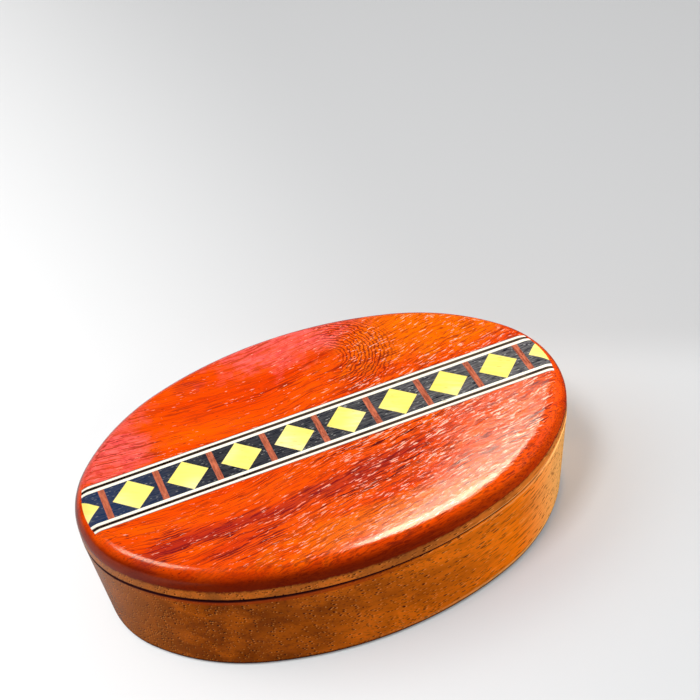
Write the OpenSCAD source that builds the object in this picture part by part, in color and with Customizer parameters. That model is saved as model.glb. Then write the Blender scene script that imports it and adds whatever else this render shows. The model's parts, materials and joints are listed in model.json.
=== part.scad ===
// Oval wooden puzzle box: a tapered oval base, a lift-off lid of two layers
// with a band of inlaid diamonds, and a hidden spin lock.

/* [Box] */
// Length of the oval
box_l = 152; // [130:1:180]
// Width of the oval
box_w = 101; // [90:1:120]
// Height of the base, from the table to the seam
base_h = 31.8; // [28:0.2:45]
// Thickness of the base's wall at the seam
wall = 8; // [7:0.5:11]
// How far the side of the base leans in from the seam to the table
base_lean = 3; // [0.5:0.25:4]
// Radius along the bottom edge of the base
bottom_r = 1.5; // [0.5:0.25:2]
// Bevel on both edges of the seam
seam_bevel = 0.6; // [0.2:0.1:1]
// Thickness of the floor panel
floor_t = 5; // [3:0.5:7]
// Width of the ledge that the floor panel seats under
floor_ledge = 1.5; // [1:0.25:2]

/* [Lid] */
// Radius along the upper edge of the red top plate
top_r = 5.2; // [3:0.1:7]
// Height of the top plate's straight side, below the radius
top_side = 0.2; // [0.1:0.1:3]
// Thickness of the tan layer under the top plate
core_t = 4.1; // [3:0.1:8]
// Thickness of the rim that keeps the lid in place
lip_t = 5; // [3:0.5:7]
// How far the rim reaches down into the base
lip_h = 4; // [2.5:0.5:5]
// Bevel on the lower outer edge of the rim
lip_bevel = 0.8; // [0.3:0.1:1.5]
// Gap between the rim and the base's wall
lip_gap = 0.4; // [0.2:0.1:1]

/* [Inlay band] */
// Depth of the inlay
inlay_t = 0.6; // [0.4:0.1:1.5]
// Width of the field that holds the diamonds
field_w = 12.6; // [8:0.2:14]
// Width of each outer white line
outer_line_w = 1.05; // [0.6:0.05:2]
// Width of each black line
black_line_w = 1; // [0.6:0.05:2]
// Width of each inner white line
inner_line_w = 1.15; // [0.6:0.05:2]
// Distance from one diamond to the next
pitch = 16.6; // [15:0.1:20]
// Width of each separator between the diamonds
separator_w = 1.85; // [0.8:0.05:2.2]
// How far the band lies behind the middle of the lid
band_y = 1.4; // [0:0.1:4]

/* [Spin lock] */
// Height of the pins above the table
pin_z = 18; // [15:0.5:19]
// Diameter of a pin's body
pin_d = 6; // [5:0.5:8]
// Length of a pin's body
pin_l = 9; // [7:0.5:12]
// Diameter of a pin's nose
nose_d = 4; // [3:0.5:4.5]
// Length of a pin's nose
nose_l = 9; // [8:0.5:11]
// How far a pin slides
pin_travel = 6; // [4:0.5:6.5]
// Gap round a pin in its bore
pin_gap = 0.1; // [0.05:0.01:0.2]
// Gap left at each end of a pin's travel
stop_gap = 0.3; // [0.2:0.05:0.5]
// Width of a lock block
block_w = 30; // [20:1:40]
// Height of a lock block above the pin
block_above = 7; // [5:0.5:8]
// Thickness of a lid tongue
tongue_t = 6; // [5:0.5:8]
// Width of a lid tongue
tongue_w = 16; // [12:1:20]
// Gap between a tongue and its block
tongue_gap = 0.8; // [0.4:0.1:1.2]
// Gap round a pin's nose in its tongue
nose_gap = 0.6; // [0.3:0.1:1]
// Gap in a glued joint
glue_gap = 0.1; // [0.05:0.01:0.15]

/* [Hidden] */
$fn = 128;
half_l = box_l / 2;
half_w = box_w / 2;
core_z = base_h + core_t;
top_t = top_r + top_side;
top_z = core_z + top_t;

// The oval is made of eight arcs that meet smoothly: two ends, four shoulders, two sides.
// The radius steps keep every centre of an arc on a whole fraction of a millimetre.
end_dir = [0.8, 0.6];
side_dir = [0.352, 0.936];
radius_step = 3.125;
side_share = 0.588;
side_step = radius_step * round(side_share * (half_l - half_w));
shoulder_step = (half_l - half_w - (side_dir[0] + side_dir[1] - 1) * side_step)
    / (end_dir[0] + end_dir[1] - 1);
end_r = half_l - end_dir[0] * shoulder_step - side_dir[0] * side_step;
shoulder_r = end_r + shoulder_step;
side_r = shoulder_r + side_step;
end_c = [half_l - end_r, 0];
shoulder_c = end_c - shoulder_step * end_dir;
side_c = shoulder_c - side_step * side_dir;

// Each arc's sector of the oval, longer than any radius. A smaller circle lies inside
// the next larger one, so its sector runs on into the next one's.
reach = 250;
end_sector = reach * [[0, -1], [1, -1], [1, 1], [0, 1]];
shoulder_sector = [shoulder_c, shoulder_c + reach * end_dir, shoulder_c + reach * [0, 1]];
side_corners = [shoulder_c, shoulder_c + reach * side_dir];
side_sector = concat(side_corners, [for (i = [1, 0]) [-side_corners[i][0], side_corners[i][1]]]);

// Band: lines, and the place where the rounded edge cuts through the inlay
line_ws = [inner_line_w, black_line_w, outer_line_w];
line_names = ["inner_white_line", "black_line", "outer_white_line"];
line_ys = [field_w / 2, field_w / 2 + inner_line_w, field_w / 2 + inner_line_w + black_line_w];
band_w = 2 * (line_ys[2] + outer_line_w);
cell_l = pitch - separator_w;
diamond_r = field_w / 2;
least_piece = 0.5;
inlay_end = half_l - top_r + sqrt(pow(top_r, 2) - pow(top_r - inlay_t, 2)) - least_piece;
flat_end = end_c[0] + sqrt(pow(end_r - top_r, 2) - pow(band_y + band_w / 2, 2));
cells = ceil(inlay_end / pitch);
function cell_x(i) = (i + 0.5) * pitch;
function chevron_near(i, side) = abs(cell_x(i)) - (side * cell_x(i) < 0 ? cell_l / 2 : 0);
diamonds = [for (i = [-cells : cells - 1]) if (abs(cell_x(i)) - diamond_r < inlay_end) i];
separators = [for (i = [-cells : cells]) if (abs(i) * pitch + separator_w / 2 < inlay_end) i];
chevrons = [for (i = [-cells : cells - 1], side = [-1, 1])
    if (chevron_near(i, side) < inlay_end) [i, side]];

// Lock: places along the length, on the right
cavity_end = half_l - wall;
pin_tail_x = cavity_end - stop_gap;
pin_shoulder_x = pin_tail_x - pin_l;
pin_tip_x = pin_shoulder_x - nose_l;
block_x = pin_tip_x - stop_gap;
bore_step_x = pin_shoulder_x - pin_travel - stop_gap;
block_h = pin_z + block_above - floor_t;
tongue_x = block_x - tongue_gap - tongue_t;

// Leaning side of the base and the centre of its bottom edge's radius
side_slope = sqrt(pow(base_h, 2) + pow(base_lean, 2));
bottom_cx = -base_lean - bottom_r * (side_slope - base_lean) / base_h;
bottom_steps = 6;
bottom_turn = 90 - atan2(base_lean, base_h);

function numbered(name, n) = [for (i = [1 : n]) str(name, "_", i)];
sides = ["left", "right"];

// The eight sectors of the oval; the child draws one arc's part from $c, $r and $sector
module each_arc() {
    for (mx = [0, 1]) mirror([mx, 0, 0]) {
        one_arc(end_c, end_r, end_sector) children();
        for (my = [0, 1]) mirror([0, my, 0])
            one_arc(shoulder_c, shoulder_r, shoulder_sector) children();
    }
    for (my = [0, 1]) mirror([0, my, 0])
        one_arc(side_c, side_r, side_sector) children();
}

module one_arc(c, r, sector) {
    $c = c;
    $r = r;
    $sector = sector;
    children();
}

// Flat oval, drawn in by an inset
module oval(inset) {
    each_arc() intersection() {
        translate($c) circle($r - inset);
        polygon($sector);
    }
}

// Solid swept round the oval; the child is its section, from the axis out to $r
module swept() {
    each_arc() intersection() {
        translate($c) rotate_extrude() children();
        linear_extrude(top_z) polygon($sector);
    }
}

// Blank of the top plate with its rounded upper edge
module top_blank() {
    swept() {
        translate([0, core_z]) square([$r - top_r, top_t]);
        translate([0, core_z]) square([$r, top_side]);
        translate([$r - top_r, core_z + top_side]) intersection() {
            circle(top_r);
            square(top_r);
        }
    }
}

// Inlaid piece, cut by the rounded edge where it reaches it
module inlaid(far_x) {
    if (far_x < flat_end) raised() children();
    else intersection() {
        raised() children();
        top_blank();
    }
}

module raised() {
    translate([0, band_y, top_z - inlay_t]) linear_extrude(inlay_t) children();
}

// Left pieces are the right ones mirrored
module on_side(s) {
    mirror([s == "left" ? 1 : 0, 0, 0]) children();
}

module along_x(x) {
    translate([x, 0, pin_z]) rotate([0, 90, 0]) children();
}

module base_wall() {
    color("#9c5b2c") difference() {
        swept() polygon(concat(
            [[0, base_h], [0, 0]],
            [for (i = [0 : bottom_steps]) let (t = bottom_turn * i / bottom_steps)
                [$r + bottom_cx + bottom_r * sin(t), bottom_r * (1 - cos(t))]],
            [[$r - base_lean * seam_bevel / base_h, base_h - seam_bevel], [$r - seam_bevel, base_h]]));
        translate([0, 0, -floor_t]) {
            linear_extrude(2 * base_h) oval(wall);
            linear_extrude(2 * floor_t) oval(wall - floor_ledge);
        }
    }
}

module floor_panel() {
    color("#b0703a") linear_extrude(floor_t) oval(wall - floor_ledge + glue_gap);
}

module lock_block(s) {
    color("#a9703f") on_side(s) difference() {
        translate([0, 0, floor_t]) linear_extrude(block_h) intersection() {
            oval(wall + glue_gap);
            translate([block_x, -block_w / 2]) square([half_l, block_w]);
        }
        along_x(block_x - stop_gap) cylinder(d = nose_d + 2 * pin_gap, h = half_l);
        along_x(bore_step_x) cylinder(d = pin_d + 2 * pin_gap, h = half_l);
    }
}

module lock_pin(s) {
    color("#b9bcc0") on_side(s) {
        along_x(pin_tip_x) cylinder(d = nose_d, h = nose_l);
        along_x(pin_shoulder_x) cylinder(d = pin_d, h = pin_l);
    }
}

module lid_top() {
    color("#b5361a") difference() {
        top_blank();
        translate([-half_l, band_y - band_w / 2, top_z - inlay_t]) cube([box_l, band_w, top_t]);
    }
}

module lid_core() {
    color("#b5743c") difference() {
        swept() polygon([[0, base_h], [$r - seam_bevel, base_h], [$r, base_h + seam_bevel],
            [$r, core_z], [0, core_z]]);
        for (s = sides) on_side(s)
            translate([tongue_x - glue_gap, -tongue_w / 2 - glue_gap, base_h - core_t])
                cube([tongue_t + 2 * glue_gap, tongue_w + 2 * glue_gap, 3 * core_t]);
    }
}

module lid_lip() {
    out = wall + lip_gap;
    low = base_h - lip_h;
    color("#a9703f") difference() {
        swept() polygon([[0, low], [$r - out - lip_bevel, low], [$r - out, low + lip_bevel],
            [$r - out, base_h], [0, base_h]]);
        translate([0, 0, low - lip_h]) linear_extrude(3 * lip_h) oval(out + lip_t);
    }
}

module lock_tongue(s) {
    color("#a9703f") on_side(s) difference() {
        union() {
            translate([tongue_x, -tongue_w / 2, pin_z]) cube([tongue_t, tongue_w, core_z - pin_z]);
            along_x(tongue_x) cylinder(d = tongue_w, h = tongue_t);
        }
        along_x(tongue_x - tongue_t) cylinder(d = nose_d + 2 * nose_gap, h = 3 * tongue_t);
    }
}

module band_line(i, front) {
    y = line_ys[i];
    color(i == 1 ? "#1b1714" : "#e9dfc6") inlaid(half_l)
        translate([-half_l, front ? -y - line_ws[i] : y]) square([box_l, line_ws[i]]);
}

module diamond(i) {
    x = cell_x(i);
    color("#e0a92e") inlaid(abs(x) + diamond_r) polygon([[x - diamond_r, 0], [x, diamond_r],
        [x + diamond_r, 0], [x, -diamond_r]]);
}

module separator(i) {
    color("#8a2f1c") inlaid(abs(i) * pitch + separator_w / 2)
        translate([i * pitch - separator_w / 2, -diamond_r]) square([separator_w, field_w]);
}

module chevron(i, side) {
    x = cell_x(i);
    far = x + side * cell_l / 2;
    color("#1b1714") inlaid(max(abs(x), abs(far))) polygon([[x, diamond_r], [far, diamond_r],
        [far, -diamond_r], [x, -diamond_r], [x + side * diamond_r, 0]]);
}

base_wall();
floor_panel();
for (s = sides) lock_block(s);
for (s = sides) lock_pin(s);
lid_top();
lid_core();
lid_lip();
for (s = sides) lock_tongue(s);
for (i = [0 : 2], s = ["front", "back"])
    band_line(i, s == "front");
for (k = [1 : len(diamonds)])
    diamond(diamonds[k - 1]);
for (k = [1 : len(separators)])
    separator(separators[k - 1]);
for (k = [1 : len(chevrons)])
    chevron(chevrons[k - 1][0], chevrons[k - 1][1]);
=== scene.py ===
import json
import math
import bpy
from mathutils import Matrix, Vector

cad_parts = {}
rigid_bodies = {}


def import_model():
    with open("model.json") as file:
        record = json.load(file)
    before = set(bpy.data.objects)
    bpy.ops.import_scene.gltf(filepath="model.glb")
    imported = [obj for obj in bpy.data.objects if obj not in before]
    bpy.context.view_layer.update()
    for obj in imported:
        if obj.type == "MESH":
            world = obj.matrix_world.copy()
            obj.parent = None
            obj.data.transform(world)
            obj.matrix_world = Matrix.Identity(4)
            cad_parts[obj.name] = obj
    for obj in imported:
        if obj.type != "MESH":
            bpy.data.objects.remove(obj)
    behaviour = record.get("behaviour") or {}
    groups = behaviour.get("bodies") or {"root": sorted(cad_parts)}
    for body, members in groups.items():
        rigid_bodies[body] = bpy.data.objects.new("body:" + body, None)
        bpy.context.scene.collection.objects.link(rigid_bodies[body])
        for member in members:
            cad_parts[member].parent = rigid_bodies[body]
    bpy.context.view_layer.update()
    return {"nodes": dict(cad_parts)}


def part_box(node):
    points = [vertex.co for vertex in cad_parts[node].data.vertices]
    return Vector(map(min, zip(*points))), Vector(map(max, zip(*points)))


for leftover in list(bpy.data.objects):  # the start-up cube, lamp and camera
    bpy.data.objects.remove(leftover)
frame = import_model()
nodes = frame["nodes"]
scene = bpy.context.scene
scene.view_settings.view_transform = "Standard"
mm = 0.001
print("frame loaded:", len(nodes), "pieces")

# heights and the band's place, in millimetres
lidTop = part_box("lid_top")[1][2] / mm
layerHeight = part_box("lid_core")[1][2] / mm  # where the lid's two layers meet
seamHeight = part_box("base_wall")[1][2] / mm  # where the lid sits on the base
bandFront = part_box("outer_white_line_front")[0][1] / mm
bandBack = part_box("outer_white_line_back")[1][1] / mm
bandMiddle = (bandFront + bandBack) / 2
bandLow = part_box("outer_white_line_front")[0][2] / mm  # underside of the band


# node helpers

def plug(tree, socket, value):  # links a socket, or sets a plain value
    if isinstance(value, bpy.types.NodeSocket):
        tree.links.new(value, socket)
    elif value is not None:
        socket.default_value = value


def addNode(tree, kind, sockets, **settings):
    node = tree.nodes.new("ShaderNode" + kind)
    for name, value in settings.items():
        setattr(node, name, value)
    for name, value in sockets.items():
        plug(tree, node.inputs[name], value)
    return node


def calc(tree, operation, a, b=None, c=None, clamp=False):
    node = addNode(tree, "Math", {0: a, 1: b, 2: c}, operation=operation, use_clamp=clamp)
    return node.outputs[0]


def plus(tree, a, b, clamp=False):
    return calc(tree, "ADD", a, b, clamp=clamp)


def minus(tree, a, b, clamp=False):
    return calc(tree, "SUBTRACT", a, b, clamp=clamp)


def times(tree, a, b, clamp=False):
    return calc(tree, "MULTIPLY", a, b, clamp=clamp)


def timesPlus(tree, a, b, c, clamp=False):
    return calc(tree, "MULTIPLY_ADD", a, b, c, clamp)


def larger(tree, a, b):
    return calc(tree, "MAXIMUM", a, b)


def vecCalc(tree, operation, a, b=None):
    return addNode(tree, "VectorMath", {0: a, 1: b}, operation=operation).outputs


def scaled(tree, vector, factor):
    return addNode(tree, "VectorMath", {0: vector, 3: factor}, operation="SCALE").outputs[0]


def ease(tree, value, start, end, low=0.0, high=1.0):  # soft step from low to high
    sockets = {0: value, 1: start, 2: end, 3: low, 4: high}
    return addNode(tree, "MapRange", sockets, interpolation_type="SMOOTHSTEP").outputs[0]


def rgba(color):  # a written colour gets its alpha
    return (*color, 1.0) if isinstance(color, tuple) else color


def blend(tree, amount, a, b):
    sockets = {0: amount, 6: rgba(a), 7: rgba(b)}
    return addNode(tree, "Mix", sockets, data_type="RGBA", blend_type="MIX").outputs[2]


def noise(tree, vector, scale, detail=3.0, rough=0.5, twist=0.0):
    sockets = {"Vector": vector, "Scale": scale, "Detail": detail, "Roughness": rough, "Distortion": twist}
    return addNode(tree, "TexNoise", sockets).outputs[0]


noiseMiddle = 0.5  # mean of a noise value


def centred(tree, value):
    return minus(tree, value, noiseMiddle)


def waver(tree, vector, size, *noiseLook):  # noise to both sides of zero
    return times(tree, centred(tree, noise(tree, vector, *noiseLook)), size)


def parts(tree, vector):
    return addNode(tree, "SeparateXYZ", {0: vector}).outputs


def joined(tree, x, y, z):
    return addNode(tree, "CombineXYZ", {0: x, 1: y, 2: z}).outputs[0]


def placeMm(tree):  # the point on the piece, in millimetres
    return scaled(tree, addNode(tree, "TexCoord", {}).outputs["Object"], 1 / mm)


def turned(tree, vector, angle, offset=(0, 0, 0)):
    sockets = {"Vector": vector, "Location": offset, "Rotation": (0, 0, math.radians(angle))}
    return addNode(tree, "Mapping", sockets).outputs[0]


def bumped(tree, height, depth):  # depth in millimetres
    return addNode(tree, "Bump", {"Height": height, "Distance": depth * mm, "Strength": 1.0}).outputs[0]


def makeGroup(name, inputs, outputs):
    tree = bpy.data.node_groups.new(name, "ShaderNodeTree")
    for label, kind, value in inputs:
        socket = tree.interface.new_socket(name=label, in_out="INPUT", socket_type="NodeSocket" + kind)
        if value is not None:
            socket.default_value = value
    for label, kind in outputs:
        tree.interface.new_socket(name=label, in_out="OUTPUT", socket_type="NodeSocket" + kind)
    source = tree.nodes.new("NodeGroupInput").outputs
    target = tree.nodes.new("NodeGroupOutput").inputs
    return tree, source, target


def useGroup(tree, group, sockets):
    node = tree.nodes.new("ShaderNodeGroup")
    node.node_tree = group
    for name, value in sockets.items():
        plug(tree, node.inputs[name], value)
    return node.outputs


def makeMaterial(name, color, roughness):
    material = bpy.data.materials.new(name)
    material.use_nodes = True
    material.diffuse_color = rgba(color)
    tree = material.node_tree
    tree.nodes.clear()
    shader = addNode(tree, "BsdfPrincipled", {"Base Color": rgba(color), "Roughness": roughness})
    output = addNode(tree, "OutputMaterial", {"Surface": shader.outputs[0]})
    output.is_active_output = True
    return material, tree, shader


# shared effects

def grainCell(tree, source):  # cells drawn out along the grain
    along = calc(tree, "DIVIDE", 1.0, source["Length"])
    across = calc(tree, "DIVIDE", 1.0, source["Width"])
    cell = vecCalc(tree, "MULTIPLY", source["Vector"], joined(tree, along, across, across))[0]
    return cell, across


poreLook = {
    "sizeLeast": 0.6, "sizeMore": 0.6,  # each pore's size, as a share of the set size
    "core": 0.68,  # share of a pore that is fully dark
    "toneLeast": 0.4, "toneMore": 0.6,  # each pore's darkness
}


def poreGroup(look):  # short dashes along the grain, each with a painted highlight rim along one side
    inputs = [("Vector", "Vector", None), ("Length", "Float", 4.0), ("Width", "Float", 1.0),
              ("Share", "Float", 0.6), ("Size", "Float", 0.32), ("Rim Shift", "Float", 0.2)]
    tree, source, target = makeGroup("pores", inputs, [("Mask", "Float"), ("Rim", "Float")])
    cell, across = grainCell(tree, source)
    step = times(tree, source["Rim Shift"], across)
    beside = vecCalc(tree, "ADD", cell, joined(tree, 0.0, step, step))[0]
    masks = []
    for spot in (cell, beside):
        cells = addNode(tree, "TexVoronoi", {"Vector": spot, "Scale": 1.0}).outputs
        pick = parts(tree, cells["Color"])  # three random values for each pore
        size = plus(tree, times(tree, pick[0], look["sizeMore"]), look["sizeLeast"])
        reach = times(tree, source["Size"], size)
        dash = ease(tree, cells["Distance"], reach, times(tree, reach, look["core"]))
        kept = calc(tree, "LESS_THAN", pick[1], source["Share"])
        tone = timesPlus(tree, pick[2], look["toneMore"], look["toneLeast"])
        masks.append(times(tree, times(tree, dash, kept), tone))
    plug(tree, target["Mask"], masks[0])
    plug(tree, target["Rim"], minus(tree, masks[1], masks[0], clamp=True))
    return tree


streakRough = 0.55


def streakGroup(rough):  # long soft streaks along the grain
    inputs = [("Vector", "Vector", None), ("Length", "Float", 40.0), ("Width", "Float", 4.0),
              ("Twist", "Float", 0.0), ("Contrast", "Float", 1.0), ("Detail", "Float", 4.0)]
    tree, source, target = makeGroup("streaks", inputs, [("Value", "Float")])
    cell = grainCell(tree, source)[0]
    wave = noise(tree, cell, 1.0, source["Detail"], rough, source["Twist"])
    spread = timesPlus(tree, centred(tree, wave), source["Contrast"], noiseMiddle, clamp=True)
    plug(tree, target["Value"], spread)
    return tree


polishLook = {
    "cloud": (0.09, 3.0, 0.6),  # scale, detail and roughness of each noise
    "grit": (2.6, 2.0, 0.6),
    "ripple": (0.35, 2.0, 0.5),
    "gritShare": 0.3,
    "gain": 2.0,
    "rippleHeight": 0.2,  # share of a full relief
}


def polishGroup(look):  # hand-rubbed finish: cloudy gloss, dust specks and a faint ripple
    inputs = [("Vector", "Vector", None), ("Roughness", "Float", 0.25), ("Cloud", "Float", 0.06)]
    tree, source, target = makeGroup("handPolish", inputs, [("Roughness", "Float"), ("Ripple", "Float")])
    cloud = times(tree, noise(tree, source["Vector"], *look["cloud"]), 1 - look["gritShare"])
    grit = times(tree, noise(tree, source["Vector"], *look["grit"]), look["gritShare"])
    sway = times(tree, centred(tree, plus(tree, cloud, grit)), source["Cloud"])
    plug(tree, target["Roughness"], timesPlus(tree, sway, look["gain"], source["Roughness"], clamp=True))
    plug(tree, target["Ripple"], noise(tree, source["Vector"], *look["ripple"]))
    return tree


softEdgeLook = {
    "halfLength": 76.0, "halfWidth": 57.0,
    "start": 0.60,  # share of the way out where the lean starts
    "power": 2.5, "drop": 1.4,
    "relief": 0.03,  # depth of a full relief on the lid, in millimetres
}


def softEdgeGroup(look):  # the hand-sanded top leans very slightly outwards before the rounded edge
    tree, source, target = makeGroup("softEdge", [("Vector", "Vector", None)], [("Height", "Float")])
    share = (1 / look["halfLength"], 1 / look["halfWidth"], 0.0)
    flat = vecCalc(tree, "MULTIPLY", source["Vector"], share)[0]
    reach = vecCalc(tree, "LENGTH", flat)["Value"]
    past = calc(tree, "DIVIDE", minus(tree, reach, look["start"]), 1 - look["start"])
    past = calc(tree, "POWER", larger(tree, past, 0.0), look["power"])
    plug(tree, target["Height"], times(tree, past, -look["drop"]))
    return tree


darkEdges = [abs(corner[1] / mm - bandMiddle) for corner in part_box("black_line_back")]
glueLook = {
    "middle": bandMiddle,
    "edges": [((bandBack - bandFront) / 2, 0.30)] + [(edge, 0.20) for edge in darkEdges],  # place, width
    "core": 0.3,  # share of the width that is fully dark
}


def glueGroup(look):  # thin dark lines where the band meets the lid and round its dark line
    tree, source, target = makeGroup("glueLine", [("Vector", "Vector", None)], [("Mask", "Float")])
    away = calc(tree, "ABSOLUTE", minus(tree, parts(tree, source["Vector"])["Y"], look["middle"]))
    mask = 0.0
    for edge, width in look["edges"]:
        gap = calc(tree, "ABSOLUTE", minus(tree, away, edge))
        mask = larger(tree, mask, ease(tree, gap, width, width * look["core"]))
    plug(tree, target["Mask"], mask)
    return tree


pores = poreGroup(poreLook)
streaks = streakGroup(streakRough)
handPolish = polishGroup(polishLook)
softEdge = softEdgeGroup(softEdgeLook)
glueLine = glueGroup(glueLook)
print("shared effects ready")


def streak(tree, vector, look):
    return useGroup(tree, streaks, {"Vector": vector, **look})["Value"]


def polished(tree, place, look):
    sockets = {"Vector": place, "Roughness": look["roughness"], "Cloud": look["cloud"]}
    return useGroup(tree, handPolish, sockets)


def rippled(tree, polish):
    return times(tree, polish["Ripple"], polishLook["rippleHeight"])


def lidNormal(tree, place, relief):
    lean = useGroup(tree, softEdge, {"Vector": place})["Height"]
    return bumped(tree, timesPlus(tree, relief, softEdgeLook["relief"], lean), 1.0)


# red lid wood: sweeping grain, dark veins, a rippled patch and pale flecks, which are partly painted glints
# four numbers for a soft step are its start, its end and the values there

redWood = {
    "orange": (1.0, 0.103, 0.0),
    "red": (0.70, 0.038, 0.0),
    "maroon": (0.11, 0.006, 0.006),
    "crimson": (0.30, 0.013, 0.013),  # tint round the big vein
    "rose": (1.0, 0.135, 0.115),
    "wine": (0.62, 0.040, 0.045),  # mottling in the pink patches of painted reflection
    "pale": (1.0, 0.56, 0.40),  # flecks: partly pale pores, partly painted glints where the polish catches the light
    "amber": (1.0, 0.18, 0.0),  # golden patches
    "shine": (1.0, 0.78, 0.58),  # warm tint of the polish
    "edge": (0.14, 0.007, 0.0),  # painted shade on the lower part of the rounded edge
    "roughness": 0.115, "cloud": 0.06,
    "lineGloss": 0.06,  # how much the gloss follows the lines
    "lineHeight": 0.22,

    "sweep": 0.2,  # slope of the grain on both sides of its turn
    "sweepX": (-46.0, -15.0),  # where it turns, in front of and behind the band
    "sweepSoft": 14.0,
    "wander": (5.0, 0.03, 2.0),  # size, then the noise
    "curl": (0.9, 0.4, 2.0),
    "ragged": (2.4, 0.12, 5.0, 0.65),
    "slant": -0.6,  # the surface gets coarser towards the right and the front, where the painted glints and painted shade between the fibres also gather
    "coarseRun": (-45.0, 30.0),
    "heightRun": (25.0, 65.0, 0.5, 2.0),
    "broad": {"Length": 50, "Width": 7, "Twist": 0.5, "Contrast": 2.4},
    "fine": {"Length": 9, "Width": 0.46, "Twist": 0.25, "Contrast": 2.6, "Detail": 2.0},
    "fibre": {"Length": 3.0, "Width": 0.42, "Twist": 0.2, "Contrast": 2.1, "Detail": 2.0},
    "zones": {"Length": 45, "Width": 8, "Twist": 0.7, "Contrast": 3.0},
    "zonesShift": (40, 90, 0),

    "patchFade": (1.35, 0.55),  # patches are given by their middle and their reach
    "golden": [((46.0, 31.0, 0.0), (30.0, 15.0)), ((-2.0, -40.0, 0.0), (30.0, 6.0))],
    "goldenShare": 0.6,
    # pink patches at the back left are a painted reflection of bright light in the polish
    "pinkSheen": [((-60.0, 24.0, 0.0), (14.0, 15.0)), ((2.0, 44.0, 0.0), (24.0, 11.0))],
    "pinkSheenLines": (0.25, 0.8, 1.0, 0.30),
    "mottle": (0.45, 5.0, 0.6, 0.6), "mottleStep": (0.40, 0.66), "mottleShare": 0.70,
    "knots": [((-30.0, 38.5, 0.0), (5.5, 2.6)), ((-51.0, -20.5, 0.0), (8.5, 4.5)),
              ((-34.0, -31.0, 0.0), (10.0, 4.5))],  # crowded dark lines
    "knotLines": 0.50, "knotTint": 0.25,

    "veinX": -8.0, "veinY": -24.4,  # dark vein along the front, which bends here
    "veinRise": 0.11, "veinSoft": 12.0,
    "veinHalf": (-30.0, 10.0, 4.6, 5.4), "veinEnd": (32.0, 16.0),
    "veinLines": 0.9, "veinTint": 0.65,
    "wobble": (9.0, 0.07, 3.0, 0.55),
    "zoneStep": (0.55, 0.95, 0.0, 0.65),
    "plainLines": (-70.0, 40.0, 0.42, 0.58),  # share of dark lines outside the veins
    "lineStep": (0.44, 0.74),
    "quietEdge": (lidTop - 0.9, lidTop - 0.05, 0.55, 1.0),
    "quietBack": (45.0, -15.0, 0.5, 1.0),
    "valleyShade": (0.46, 0.18, 0.0, 0.60),

    "rippleAt": (13.5, 30.0), "rippleStep": 1.15,
    "rippleNear": (3.0, 7.0), "rippleFar": (26.0, 17.0), "rippleSide": (-4.0, 5.0),
    "rippleNoise": (0.45, 3.0), "rippleShake": 2.8,
    "rippleDark": (-0.2, 0.8, 0.0, 0.75),

    "crest": 0.87, "crestSoft": 0.07,  # flecks show above this height of the fibres
    "crestRight": -0.14,  # more of them at the right, where the painted glints gather
    "crestBack": (12.0, 20.0, 0.0, 0.05),  # fewer behind the band
    "crestNoise": (0.09, 2.0), "crestSwing": 0.35,
    "onFlat": (lidTop - 0.6, lidTop - 0.1),
    "fleckGlintRun": (-60.0, 50.0, 0.55, 0.82),
    "dots": {"Length": 2.0, "Width": 0.65, "Size": 0.26, "Rim Shift": 0.2},
    "dotShare": (lidTop - 0.1, lidTop - 1.5, 0.3, 0.75),
    "dotRun": (-10.0, -60.0, 0.55, 1.0),

    # painted shade: the rounded edge darkens towards its underside, more at the left
    "lowEdgeShade": (lidTop - 0.2, lidTop - 3.4), "lowEdgeShadeRun": (60.0, -10.0, 0.55, 0.88),
    "leftEdgeShade": (lidTop - 0.6, lidTop - 2.3), "leftEdgeShadeRun": (-35.0, -68.0, 0.0, 0.85),
    "glueStep": (bandLow - 0.2, bandLow + 0.2, 0.0, 0.75),
}


def redGrain(tree, look):  # what several steps of the red wood use
    place = placeMm(tree)
    x, y, z = parts(tree, place)
    run = minus(tree, x, ease(tree, y, bandFront, bandBack, *look["sweepX"]))
    square = timesPlus(tree, run, run, look["sweepSoft"] ** 2)
    lift = times(tree, calc(tree, "SQRT", square), look["sweep"])
    across = plus(tree, minus(tree, y, lift), waver(tree, place, *look["wander"]))
    grain = joined(tree, x, across, z)
    curly = joined(tree, x, plus(tree, across, waver(tree, place, *look["curl"])), z)
    aslant = timesPlus(tree, y, look["slant"], x)
    return {
        "place": place, "x": x, "y": y, "z": z,
        "grain": grain, "curly": curly,
        "fine": streak(tree, curly, look["fine"]),
        "fibre": streak(tree, curly, look["fibre"]),
        "ragged": waver(tree, grain, *look["ragged"]),
        "toRight": ease(tree, aslant, *look["coarseRun"]),
        "coarse": ease(tree, aslant, *look["heightRun"]),
    }


def patches(tree, wood, look, kind):  # soft ragged patches, seen from above
    found = 0.0
    for middle, (reachX, reachY) in look[kind]:
        off = vecCalc(tree, "SUBTRACT", wood["place"], middle)[0]
        off = vecCalc(tree, "MULTIPLY", off, (1 / reachX, 1 / reachY, 0.0))[0]
        apart = plus(tree, vecCalc(tree, "LENGTH", off)["Value"], wood["ragged"])
        found = larger(tree, found, ease(tree, apart, *look["patchFade"]))
    return found


def redTones(tree, wood, look):  # orange and red streaks, golden patches, and pink patches of painted reflection
    color = blend(tree, streak(tree, wood["grain"], look["broad"]), look["orange"], look["red"])
    golden = times(tree, patches(tree, wood, look, "golden"), look["goldenShare"])
    color = blend(tree, golden, color, look["amber"])
    mottle = ease(tree, noise(tree, wood["curly"], *look["mottle"]), *look["mottleStep"])
    pinkSheenTone = blend(tree, times(tree, mottle, look["mottleShare"]), look["rose"], look["wine"])
    pinkSheen = times(tree, patches(tree, wood, look, "pinkSheen"), ease(tree, wood["fine"], *look["pinkSheenLines"]))
    return blend(tree, pinkSheen, color, pinkSheenTone)


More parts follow.
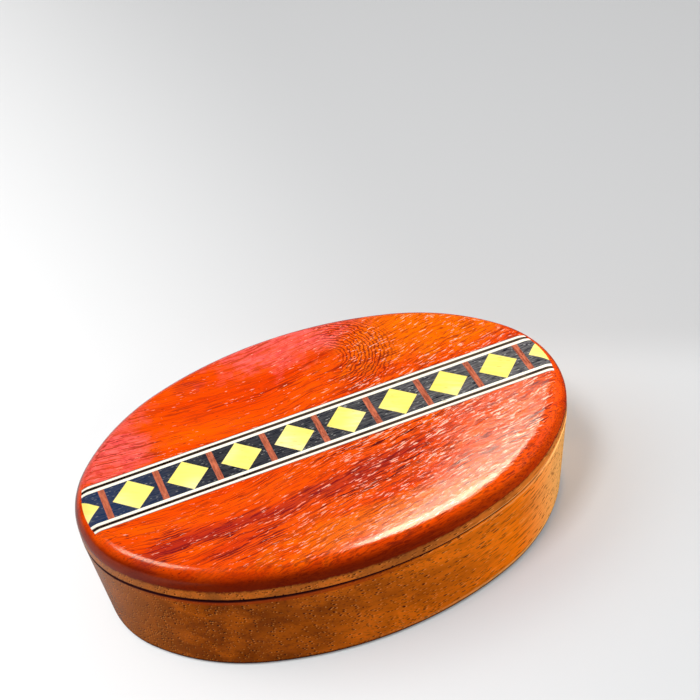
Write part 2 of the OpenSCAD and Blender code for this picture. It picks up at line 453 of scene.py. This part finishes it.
def redVeins(tree, wood, color, look):  # dark lines, faint in most places and gathered in the veins, and painted shade between the fibres at the right
    x, y, z = wood["x"], wood["y"], wood["z"]
    past = minus(tree, x, look["veinX"])
    bend = calc(tree, "SQRT", timesPlus(tree, past, past, look["veinSoft"] ** 2))
    rise = timesPlus(tree, plus(tree, bend, past), look["veinRise"], look["veinY"])
    away = plus(tree, minus(tree, y, rise), waver(tree, wood["grain"], *look["wobble"]))
    half = ease(tree, x, *look["veinHalf"])
    vein = ease(tree, calc(tree, "ABSOLUTE", away), half, 0.0)
    vein = times(tree, vein, ease(tree, x, *look["veinEnd"]))
    knots = patches(tree, wood, look, "knots")
    zones = streak(tree, turned(tree, wood["grain"], 0.0, look["zonesShift"]), look["zones"])
    share = plus(tree, ease(tree, zones, *look["zoneStep"]), times(tree, vein, look["veinLines"]))
    share = timesPlus(tree, knots, look["knotLines"], share)
    share = plus(tree, share, ease(tree, x, *look["plainLines"]), clamp=True)
    dark = times(tree, ease(tree, wood["fine"], *look["lineStep"]), share)
    dark = times(tree, dark, ease(tree, z, *look["quietEdge"]))
    dark = times(tree, dark, ease(tree, y, *look["quietBack"]))
    color = blend(tree, dark, color, look["maroon"])
    tint = larger(tree, times(tree, vein, look["veinTint"]), times(tree, knots, look["knotTint"]))
    color = blend(tree, tint, color, look["crimson"])
    # partly the wood's dark fibres, partly painted shade in the fibre valleys between the painted glints,
    # towards the right
    valleyShade = times(tree, ease(tree, wood["fibre"], *look["valleyShade"]), wood["toRight"])
    return blend(tree, valleyShade, color, look["maroon"])


def redRipples(tree, wood, color, look):  # fine dark rings round one point
    offX = minus(tree, wood["x"], look["rippleAt"][0])
    offY = minus(tree, wood["y"], look["rippleAt"][1])
    far = calc(tree, "SQRT", timesPlus(tree, offX, offX, times(tree, offY, offY)))
    shake = noise(tree, wood["place"], *look["rippleNoise"])
    far = plus(tree, far, times(tree, shake, look["rippleShake"]))
    rings = calc(tree, "SINE", times(tree, far, 2 * math.pi / look["rippleStep"]))
    zone = times(tree, ease(tree, far, *look["rippleNear"]), ease(tree, far, *look["rippleFar"]))
    zone = times(tree, zone, ease(tree, offX, *look["rippleSide"]))
    dark = times(tree, zone, ease(tree, rings, *look["rippleDark"]))
    return blend(tree, dark, color, look["maroon"])


def redFlecks(tree, wood, color, look):  # dark dots, and pale flecks that are partly painted glints
    x, y, z = wood["x"], wood["y"], wood["z"]
    crest = timesPlus(tree, wood["toRight"], look["crestRight"], look["crest"])
    crest = plus(tree, crest, ease(tree, y, *look["crestBack"]))
    sway = centred(tree, noise(tree, wood["grain"], *look["crestNoise"]))
    crest = timesPlus(tree, sway, look["crestSwing"], crest)
    fleckGlint = ease(tree, wood["fibre"], crest, plus(tree, crest, look["crestSoft"]))
    fleckGlint = times(tree, fleckGlint, ease(tree, z, *look["onFlat"]))
    dotShare = ease(tree, z, *look["dotShare"])
    dots = useGroup(tree, pores, {"Vector": wood["grain"], "Share": dotShare, **look["dots"]})["Mask"]
    color = blend(tree, times(tree, dots, ease(tree, x, *look["dotRun"])), color, look["maroon"])
    # pale flecks: partly the wood's pores, partly painted glints, paler towards the right
    return blend(tree, times(tree, fleckGlint, ease(tree, x, *look["fleckGlintRun"])), color, look["pale"])


def redEdgeShade(tree, wood, color, look):  # painted shade round the lower edge, with glue beside the band
    x, z = wood["x"], wood["z"]
    low = times(tree, ease(tree, z, *look["lowEdgeShade"]), ease(tree, x, *look["lowEdgeShadeRun"]))
    left = times(tree, ease(tree, z, *look["leftEdgeShade"]), ease(tree, x, *look["leftEdgeShadeRun"]))
    color = blend(tree, larger(tree, low, left), color, look["edge"])
    glue = useGroup(tree, glueLine, {"Vector": wood["place"]})["Mask"]
    glue = times(tree, glue, ease(tree, z, *look["glueStep"]))
    return blend(tree, glue, color, look["maroon"])


def makeRedWood(look):
    material, tree, shader = makeMaterial("redWood", look["orange"], look["roughness"])
    shader.inputs["Specular Tint"].default_value = rgba(look["shine"])
    wood = redGrain(tree, look)
    color = redTones(tree, wood, look)
    color = redVeins(tree, wood, color, look)
    color = redRipples(tree, wood, color, look)
    color = redFlecks(tree, wood, color, look)
    color = redEdgeShade(tree, wood, color, look)
    plug(tree, shader.inputs["Base Color"], color)
    polish = polished(tree, wood["place"], look)
    gloss = timesPlus(tree, centred(tree, wood["fine"]), look["lineGloss"], polish["Roughness"])
    plug(tree, shader.inputs["Roughness"], gloss)
    relief = timesPlus(tree, wood["fine"], look["lineHeight"], rippled(tree, polish))
    relief = timesPlus(tree, wood["fibre"], wood["coarse"], relief)
    plug(tree, shader.inputs["Normal"], lidNormal(tree, wood["place"], relief))
    return material


# tan wood of the base and the lid's lower layer: brown with dark open pores

tanWood = {
    "brown": (0.30, 0.056, 0.0),
    "gold": (0.98, 0.20, 0.0),
    "dark": (0.055, 0.010, 0.001),
    "darkRight": (0.17, 0.045, 0.006),  # the pores look browner towards the right
    "dusty": (0.40, 0.115, 0.018),  # painted sheen at the left end: a paler, greyer tone
    "rim": (1.0, 0.36, 0.07),  # lit side of each pore
    # pale tone used for painted light: the sheen at the right end and the highlights on the lower edge and
    # on the seam's lips
    "light": (1.0, 0.50, 0.15),
    "seam": (0.030, 0.004, 0.007),
    "rust": (0.45, 0.040, 0.0),  # thin red strip under the seam
    "bleed": (0.16, 0.012, 0.001),  # red from the lid's top layer
    "shine": (1.0, 0.72, 0.42),  # warm tint of the polish
    "roughness": 0.21, "cloud": 0.10,
    "depth": 0.009,  # of the relief, in millimetres
    "base": {"gold": (-0.38, 0.36), "pale": (0.0, 1.0)},  # shares at the left and right ends; the gold is partly wood tone, partly painted light, and the pale is painted sheen
    "core": {"gold": (-0.12, -0.17), "pale": (0.10, 0.22)},

    "turn": 27.0,  # grain direction in plan, degrees from the length
    "broad": {"Length": 60, "Width": 9, "Twist": 0.4, "Contrast": 2.2},
    "fine": {"Length": 18, "Width": 0.7, "Contrast": 2.0},
    "goldAndLightRun": (-60.0, 30.0), "sheenRun": (42.0, 70.0), "dustyRun": (-52.0, -72.0, 0.0, 0.7),
    "fineDark": (0.5, 1.0, 0.0, 0.60),
    "pores": {"Length": 6.0, "Width": 0.84, "Size": 0.33, "Rim Shift": 0.24},
    "crowd": (0.06, 2.0), "poreShare": (0.3, 0.7, 0.72, 0.95),  # where the pores crowd
    "rimShare": 0.62, "poreDark": 1.4, "darkRun": (-20.0, 55.0),

    "footHighlightHeight": (3.0, 2.2), "footHighlightRun": (-20.0, 60.0, 0.0, 0.75),  # painted highlight along the lower edge
    "footHighlightPatches": (0.3, 0.6, 0.4, 1.0),
    "contactShade": (1.9, 1.3, 0.0, 0.85),  # painted contact shade where the base meets the table

    "rustHeight": (seamHeight - 2.1, seamHeight - 1.5), "rustShare": 0.75,
    "rustStart": (-72.0, -50.0), "rustEnd": (15.0, -15.0),
    "bleedStep": (layerHeight - 0.2, layerHeight + 1.2),
    "bleedNoise": (0.6, 4.0, 0.6), "bleedRagged": 2.0,
    "lipHighlightAway": 0.75, "lipHighlightWidth": (0.32, 0.08), "lipHighlightRun": (5.0, 45.0, 0.0, 0.5),  # painted highlight on the lips of the joint
    "seamHalf": (-75.0, 30.0, 1.05, 0.42), "seamCore": 0.4,
    "rimFacing": (0.97, 0.85),  # keeps the seam off the flat rims
    "nickAt": (21.5, -48.2, 31.5), "nick": (0.75, 0.35, 0.0, 0.7),  # small nick on the front of the seam
}


def tanFoot(tree, x, z, crowd, color, look):  # painted highlight along the lower edge and painted contact shade at the table
    footHighlight = times(tree, ease(tree, z, *look["footHighlightHeight"]), ease(tree, x, *look["footHighlightRun"]))
    footHighlight = times(tree, footHighlight, ease(tree, crowd, *look["footHighlightPatches"]))
    color = blend(tree, footHighlight, color, look["light"])
    return blend(tree, ease(tree, z, *look["contactShade"]), color, look["dark"])


def tanSeam(tree, place, x, z, grain, color, look):  # what shows round the joint of lid and base, with a painted highlight on its lips and painted shade in its gap
    rust = times(tree, ease(tree, x, *look["rustStart"]), ease(tree, x, *look["rustEnd"]))
    rust = times(tree, ease(tree, z, *look["rustHeight"]), rust)
    rust = times(tree, rust, calc(tree, "LESS_THAN", z, seamHeight))
    color = blend(tree, times(tree, rust, look["rustShare"]), color, look["rust"])
    ragged = timesPlus(tree, noise(tree, grain, *look["bleedNoise"]), look["bleedRagged"], z)
    color = blend(tree, ease(tree, ragged, *look["bleedStep"]), color, look["bleed"])
    nearSeam = calc(tree, "ABSOLUTE", minus(tree, z, seamHeight))
    beside = calc(tree, "ABSOLUTE", minus(tree, nearSeam, look["lipHighlightAway"]))
    lipHighlight = times(tree, ease(tree, beside, *look["lipHighlightWidth"]), ease(tree, x, *look["lipHighlightRun"]))
    color = blend(tree, lipHighlight, color, look["light"])
    # the seam's dark line is painted shade in the gap between lid and base, wider at the left
    half = ease(tree, x, *look["seamHalf"])
    seam = ease(tree, nearSeam, half, times(tree, half, look["seamCore"]))
    facing = parts(tree, addNode(tree, "NewGeometry", {}).outputs["Normal"])["Z"]
    seam = times(tree, seam, ease(tree, calc(tree, "ABSOLUTE", facing), *look["rimFacing"]))
    apart = vecCalc(tree, "DISTANCE", place, look["nickAt"])["Value"]
    seam = larger(tree, seam, ease(tree, apart, *look["nick"]))
    return blend(tree, seam, color, look["seam"])


def makeTanWood(name, look, tones):
    material, tree, shader = makeMaterial(name, look["brown"], look["roughness"])
    shader.inputs["Specular Tint"].default_value = rgba(look["shine"])
    place = placeMm(tree)
    split = parts(tree, place)
    x, z = split["X"], split["Z"]
    grain = turned(tree, place, -look["turn"])
    broad = streak(tree, grain, look["broad"])
    # golder and paler towards the right: partly wood tone, partly painted light and sheen from the right
    toGold = plus(tree, broad, ease(tree, x, *look["goldAndLightRun"], *tones["gold"]), clamp=True)
    color = blend(tree, toGold, look["brown"], look["gold"])
    color = blend(tree, ease(tree, x, *look["sheenRun"], *tones["pale"]), color, look["light"])
    fine = streak(tree, grain, look["fine"])
    color = blend(tree, ease(tree, fine, *look["fineDark"]), color, look["dark"])
    # painted sheen at the left end
    color = blend(tree, ease(tree, x, *look["dustyRun"]), color, look["dusty"])
    crowd = noise(tree, place, *look["crowd"])
    share = ease(tree, crowd, *look["poreShare"])
    pore = useGroup(tree, pores, {"Vector": grain, "Share": share, **look["pores"]})
    color = blend(tree, times(tree, pore["Rim"], look["rimShare"]), color, look["rim"])
    hollow = blend(tree, ease(tree, x, *look["darkRun"]), look["dark"], look["darkRight"])
    color = blend(tree, times(tree, pore["Mask"], look["poreDark"], clamp=True), color, hollow)
    color = tanFoot(tree, x, z, crowd, color, look)
    color = tanSeam(tree, place, x, z, grain, color, look)
    plug(tree, shader.inputs["Base Color"], color)
    polish = polished(tree, place, look)
    plug(tree, shader.inputs["Roughness"], polish["Roughness"])
    relief = timesPlus(tree, pore["Mask"], -1.0, rippled(tree, polish))
    plug(tree, shader.inputs["Normal"], bumped(tree, relief, look["depth"]))
    return material


# plain wood inside the box: sanded, not polished

plainWood = {
    "base": (0.50, 0.30, 0.14),
    "late": (0.34, 0.18, 0.075),
    "dark": (0.10, 0.045, 0.018),
    "roughness": 0.55, "cloud": 0.12,
    "shift": (13.0, 5.0, 21.0),  # place in the pattern
    "broad": {"Length": 45, "Width": 3.5, "Twist": 0.8, "Contrast": 2.4},
    "fine": {"Length": 12, "Width": 0.6, "Contrast": 2.0},
    "fineLate": (0.5, 1.0, 0.0, 0.5),
    "pores": {"Length": 3.5, "Width": 1.0, "Share": 0.45, "Size": 0.26},
    "poreDark": 0.7,
    "lineHeight": 0.5,
    "depth": 0.05,
}


def makePlainWood(name, look, turn):
    material, tree, shader = makeMaterial(name, look["base"], look["roughness"])
    place = placeMm(tree)
    grain = turned(tree, place, turn, look["shift"])
    fine = streak(tree, grain, look["fine"])
    color = blend(tree, streak(tree, grain, look["broad"]), look["base"], look["late"])
    color = blend(tree, ease(tree, fine, *look["fineLate"]), color, look["late"])
    pore = useGroup(tree, pores, {"Vector": grain, **look["pores"]})
    color = blend(tree, times(tree, pore["Mask"], look["poreDark"]), color, look["dark"])
    plug(tree, shader.inputs["Base Color"], color)
    plug(tree, shader.inputs["Roughness"], polished(tree, place, look)["Roughness"])
    relief = timesPlus(tree, fine, look["lineHeight"], times(tree, pore["Mask"], -1.0))
    plug(tree, shader.inputs["Normal"], bumped(tree, relief, look["depth"]))
    return material


# veneers of the band, all under the lid's own finish

anyVeneer = {
    "turn": 0.0, "shift": (7.0, 31.0, 3.0),  # grain direction and place in the pattern
    "twist": 0.2,
    "lateRun": (-50.0, 50.0),
    "leftReflectionRun": (-30.0, -72.0),
    "creamNoise": (0.05, 1.0), "creamStep": (0.45, 0.65),  # some pieces are paler
    "poreLength": 3.0, "poreWidth": 0.6, "poreSize": 0.3,
    "poreRun": (-60.0, 30.0, 0.25, 0.7),
    "glueShare": 0.6,
}
veneers = {
    "white": {"base": (0.96, 0.92, 0.80), "late": (0.84, 0.70, 0.46), "dark": (0.30, 0.18, 0.07),
              "length": 22.0, "width": 0.9, "contrast": 1.6, "lateShare": (0.30, 0.40), "poreShare": 0.10},
    # black: blue at the left end is a painted reflection; its pale streaks, more at the right, are partly
    # grain, partly painted sheen
    "black": {"base": (0.0105, 0.0125, 0.021), "left": (0.009, 0.025, 0.080),
              "late": (0.170, 0.160, 0.158), "dark": (0.42, 0.41, 0.39),
              "length": 3.0, "width": 0.40, "contrast": 3.2, "lateShare": (0.22, 1.0),
              "lateRun": (-25.0, 60.0), "poreShare": 0.55, "poreLength": 1.7},
    "darkLine": {"base": (0.012, 0.010, 0.008), "late": (0.110, 0.082, 0.045), "dark": (0.20, 0.15, 0.08),
                 "length": 9.0, "width": 0.50, "contrast": 2.4, "lateShare": (0.2, 0.9), "poreShare": 0.30},
    "yellow": {"base": (0.97, 0.84, 0.21), "cream": (0.98, 0.88, 0.44),
               "late": (0.93, 0.70, 0.11), "dark": (0.75, 0.45, 0.05), "turn": 30.0,
               "length": 6.0, "width": 1.2, "contrast": 1.8, "lateShare": (0.45, 1.0), "poreShare": 0.25},
    "brown": {"base": (0.60, 0.16, 0.08), "late": (0.20, 0.038, 0.020), "dark": (0.05, 0.012, 0.010),
              "turn": 90.0, "length": 2.6, "width": 0.55, "contrast": 3.0, "lateShare": (0.75, 0.9),
              "poreShare": 0.9, "poreLength": 1.6},
}


def makeVeneer(name, look, lid):
    material, tree, shader = makeMaterial(name + "Veneer", look["base"], lid["roughness"])
    place = placeMm(tree)
    x = parts(tree, place)["X"]
    grain = turned(tree, place, look["turn"], look["shift"])
    color = look["base"]
    # painted reflection: a blue tone towards the left end
    if "left" in look:
        color = blend(tree, ease(tree, x, *look["leftReflectionRun"]), color, look["left"])
    if "cream" in look:
        cream = ease(tree, noise(tree, place, *look["creamNoise"]), *look["creamStep"])
        color = blend(tree, cream, color, look["cream"])
    lines = streak(tree, grain, {"Length": look["length"], "Width": look["width"], "Twist": look["twist"],
                                 "Contrast": look["contrast"]})
    late = times(tree, lines, ease(tree, x, *look["lateRun"], *look["lateShare"]))
    color = blend(tree, late, color, look["late"])
    pore = useGroup(tree, pores, {"Vector": grain, "Length": look["poreLength"], "Width": look["poreWidth"],
                                  "Share": look["poreShare"], "Size": look["poreSize"]})
    color = blend(tree, times(tree, pore["Mask"], ease(tree, x, *look["poreRun"])), color, look["dark"])
    glue = useGroup(tree, glueLine, {"Vector": place})["Mask"]
    color = blend(tree, times(tree, glue, look["glueShare"]), color, lid["maroon"])
    plug(tree, shader.inputs["Base Color"], color)
    polish = polished(tree, place, lid)
    plug(tree, shader.inputs["Roughness"], polish["Roughness"])
    relief = timesPlus(tree, pore["Mask"], -1.0, rippled(tree, polish))
    plug(tree, shader.inputs["Normal"], lidNormal(tree, place, relief))
    return material


# turned steel of the lock pins

turnedSteel = {
    "color": (0.62, 0.63, 0.65),
    "shade": (0.45, 0.455, 0.47),
    "shadeNoise": (0.5, 3.0), "shadeStep": (0.35, 0.7),
    "roughness": 0.24, "cloud": 0.15,
    "ringStep": 0.22, "depth": 0.006,  # tool marks, in millimetres
}


def makeSteel(look):
    material, tree, shader = makeMaterial("turnedSteel", look["color"], look["roughness"])
    shader.inputs["Metallic"].default_value = 1.0
    place = placeMm(tree)
    shade = ease(tree, noise(tree, place, *look["shadeNoise"]), *look["shadeStep"])
    plug(tree, shader.inputs["Base Color"], blend(tree, shade, look["color"], look["shade"]))
    plug(tree, shader.inputs["Roughness"], polished(tree, place, look)["Roughness"])
    rings = calc(tree, "SINE", times(tree, parts(tree, place)["X"], 2 * math.pi / look["ringStep"]))
    plug(tree, shader.inputs["Normal"], bumped(tree, rings, look["depth"]))
    return material


alongWood = makePlainWood("plainWoodAlong", plainWood, 0.0)
acrossWood = makePlainWood("plainWoodAcross", plainWood, 90.0)
band = {name: makeVeneer(name, {**anyVeneer, **look}, redWood) for name, look in veneers.items()}
finishes = {  # by the first words of a piece's name
    "lid_top": makeRedWood(redWood),
    "lid_core": makeTanWood("coreWood", tanWood, tanWood["core"]),
    "lid_lip": alongWood,
    "base_wall": makeTanWood("baseWood", tanWood, tanWood["base"]),
    "floor_panel": alongWood,
    "lock_block": acrossWood,
    "lock_tongue": acrossWood,
    "lock_pin": makeSteel(turnedSteel),
    "inner_white_line": band["white"],
    "outer_white_line": band["white"],
    "black_line": band["darkLine"],
    "diamond": band["yellow"],
    "separator": band["brown"],
    "chevron": band["black"],
}
for name, piece in nodes.items():
    finish = next(finishes[start] for start in finishes if name.startswith(start))
    piece.data.materials.clear()
    piece.data.materials.append(finish)
print("finishes on", len(nodes), "pieces")


# floor, light and camera

floorLook = {
    "half": 5.0,  # metres
    "below": 0.05,  # millimetres under the box
    "roughness": 0.9,
    "near": (0.51, 0.513, 0.517), "right": (0.44, 0.446, 0.452),
    "far": (0.55, 0.551, 0.553), "farRight": (0.38, 0.382, 0.386),
    "shadeFade": (-110.0, 90.0),  # painted shade: the paper greys from the left colours to the right ones
    "backs": [((0.481, 0.877, 0.0), 83.0), ((-0.369, 0.929, 0.0), 108.0)],  # where the paper turns up
    "soft": 15.0,
    "glow": 0.45,  # share added for the camera only, so the paper reads white
    "mirrored": (0.02, 0.02, 0.02), "mirroredBack": (0.26, 0.26, 0.26),  # as the polish mirrors it
    "backSlant": 0.8, "backRun": (45.0, 115.0),
}


def makeFloor(look):
    half = look["half"]
    corners = [(-half, -half, 0), (half, -half, 0), (half, half, 0), (-half, half, 0)]
    mesh = bpy.data.meshes.new("studioFloor")
    mesh.from_pydata(corners, [], [(0, 1, 2, 3)])
    floor = bpy.data.objects.new("studioFloor", mesh)
    floor.location.z = -look["below"] * mm
    scene.collection.objects.link(floor)
    material, tree, shader = makeMaterial("paper", look["near"], look["roughness"])
    shader.inputs["Specular IOR Level"].default_value = 0.0
    place = placeMm(tree)
    split = parts(tree, place)
    toRight = ease(tree, split["X"], *look["shadeFade"])
    color = blend(tree, toRight, look["near"], look["right"])
    far = blend(tree, toRight, look["far"], look["farRight"])
    for direction, at in look["backs"]:
        depth = vecCalc(tree, "DOT_PRODUCT", place, direction)["Value"]
        color = blend(tree, ease(tree, depth, at - look["soft"], at + look["soft"]), color, far)
    plug(tree, shader.inputs["Base Color"], color)
    plug(tree, shader.inputs["Emission Color"], color)
    path = addNode(tree, "LightPath", {}).outputs
    plug(tree, shader.inputs["Emission Strength"], times(tree, path["Is Camera Ray"], look["glow"]))
    behind = timesPlus(tree, split["Y"], look["backSlant"], times(tree, split["X"], -1.0))
    dimColor = blend(tree, ease(tree, behind, *look["backRun"]), look["mirrored"], look["mirroredBack"])
    dim = addNode(tree, "BsdfDiffuse", {"Color": dimColor})
    sockets = {0: path["Is Glossy Ray"], 1: shader.outputs[0], 2: dim.outputs[0]}
    seen = addNode(tree, "MixShader", sockets)
    plug(tree, tree.nodes["Material Output"].inputs["Surface"], seen.outputs[0])
    mesh.materials.append(material)
    return floor


# a lamp's two ends are directions seen from the box, as turn and height in degrees
# sizes are in metres, and "bright" is how bright the lamp itself would look

lamps = {
    "keySoftbox": {"ends": [(140, 50), (196, 50)], "away": 0.80, "width": 0.60, "bright": 4.4,
                   "color": (1.0, 1.0, 0.99), "shows": "diffuse"},
    "rightWall": {"ends": [(-30, 18), (30, 18)], "away": 0.70, "width": 0.40, "bright": 8.2,
                  "color": (1.0, 0.99, 0.96), "shows": "diffuse", "onFloor": False},
    "rightStrip": {"ends": [(50, 51.5), (-36, 70)], "away": 0.60, "width": 0.26, "bright": 27.0,
                   "color": (1.0, 0.99, 0.97), "shows": "glossy"},
    "floorLamp": {"ends": [(203, 66), (233, 66)], "away": 0.90, "width": 0.25, "bright": 35.0,
                  "color": (1.0, 1.0, 1.0), "shows": "diffuse", "onFloor": True},
    "leftStrip": {"ends": [(150, 46), (178, 62)], "away": 0.75, "width": 0.24, "bright": 10.0,
                  "color": (1.0, 0.99, 0.98), "shows": "glossy"},
}
lampAim = Vector((0, 0, 0.03))


def pointing(turn, height):
    turn = math.radians(turn)
    height = math.radians(height)
    return Vector((math.cos(turn) * math.cos(height), math.sin(turn) * math.cos(height), math.sin(height)))


def makeLamp(name, look, floor):
    first, last = (pointing(*end) for end in look["ends"])
    toward = (first + last).normalized()
    along = (first - last).normalized()
    data = bpy.data.lights.new(name, "AREA")
    data.shape = "RECTANGLE"
    data.size = 2 * look["away"] * math.tan(first.angle(last) / 2)
    data.size_y = look["width"]
    data.energy = look["bright"] * math.pi * data.size * data.size_y
    data.color = look["color"]
    lamp = bpy.data.objects.new(name, data)
    aim = Matrix((along, toward.cross(along), toward)).transposed().to_4x4()
    lamp.matrix_world = Matrix.Translation(lampAim + toward * look["away"]) @ aim
    lamp.visible_camera = False
    lamp.visible_diffuse = look["shows"] == "diffuse"
    lamp.visible_glossy = look["shows"] == "glossy"
    scene.collection.objects.link(lamp)
    if "onFloor" in look:  # lights the floor alone, or everything but the floor
        chosen = bpy.data.collections.new(name + "Floor")
        chosen.objects.link(floor)
        linking = chosen.collection_objects[0].light_linking
        linking.link_state = "INCLUDE" if look["onFloor"] else "EXCLUDE"
        lamp.light_linking.receiver_collection = chosen


worldLook = {"front": 0.32, "back": 0.65, "run": (-0.8, 0.6), "paper": 0.72}


def makeWorld(look):
    world = bpy.data.worlds.new("studio")
    world.use_nodes = True
    scene.world = world
    tree = world.node_tree
    tree.nodes.clear()
    toward = addNode(tree, "TexCoord", {}).outputs["Generated"]
    level = ease(tree, parts(tree, toward)["Y"], *look["run"], look["front"], look["back"])
    white = rgba((1.0, 1.0, 1.0))
    room = addNode(tree, "Background", {"Color": white, "Strength": level})
    paper = addNode(tree, "Background", {"Color": white, "Strength": look["paper"]})
    path = addNode(tree, "LightPath", {}).outputs
    both = addNode(tree, "MixShader", {0: path["Is Camera Ray"], 1: room.outputs[0], 2: paper.outputs[0]})
    addNode(tree, "OutputWorld", {"Surface": both.outputs[0]})
    world.cycles_visibility.glossy = False  # the polish mirrors only the strips and the paper


cameraLook = {
    "height": 40.696, "turn": -16.289, "roll": -8.206,  # degrees
    "away": 505.594, "across": 3.741, "up": 54.984,  # millimetres from the origin
    "focalPixels": 1621.228, "framePixels": 700,
    "sensor": 36.0,
    "clipStart": 0.01,  # metres
}


def makeCamera(look):
    height, turn, roll = (math.radians(look[key]) for key in ("height", "turn", "roll"))
    back = Vector((math.sin(turn) * math.cos(height), -math.cos(turn) * math.cos(height), math.sin(height)))
    level = Vector((0, 0, 1)).cross(back).normalized()
    upright = back.cross(level)
    right = math.cos(roll) * level + math.sin(roll) * upright
    up = -math.sin(roll) * level + math.cos(roll) * upright
    data = bpy.data.cameras.new("photoCamera")
    data.sensor_width = look["sensor"]
    data.lens = look["focalPixels"] / look["framePixels"] * look["sensor"]
    data.clip_start = look["clipStart"]
    camera = bpy.data.objects.new("photoCamera", data)
    turnMatrix = Matrix((right, up, back)).transposed().to_4x4()
    spot = (back * look["away"] + right * look["across"] + up * look["up"]) * mm
    camera.matrix_world = Matrix.Translation(spot) @ turnMatrix
    scene.collection.objects.link(camera)
    scene.camera = camera


paperFloor = makeFloor(floorLook)
for name, look in lamps.items():
    makeLamp(name, look, paperFloor)
makeWorld(worldLook)
makeCamera(cameraLook)
print("floor, light and camera set")
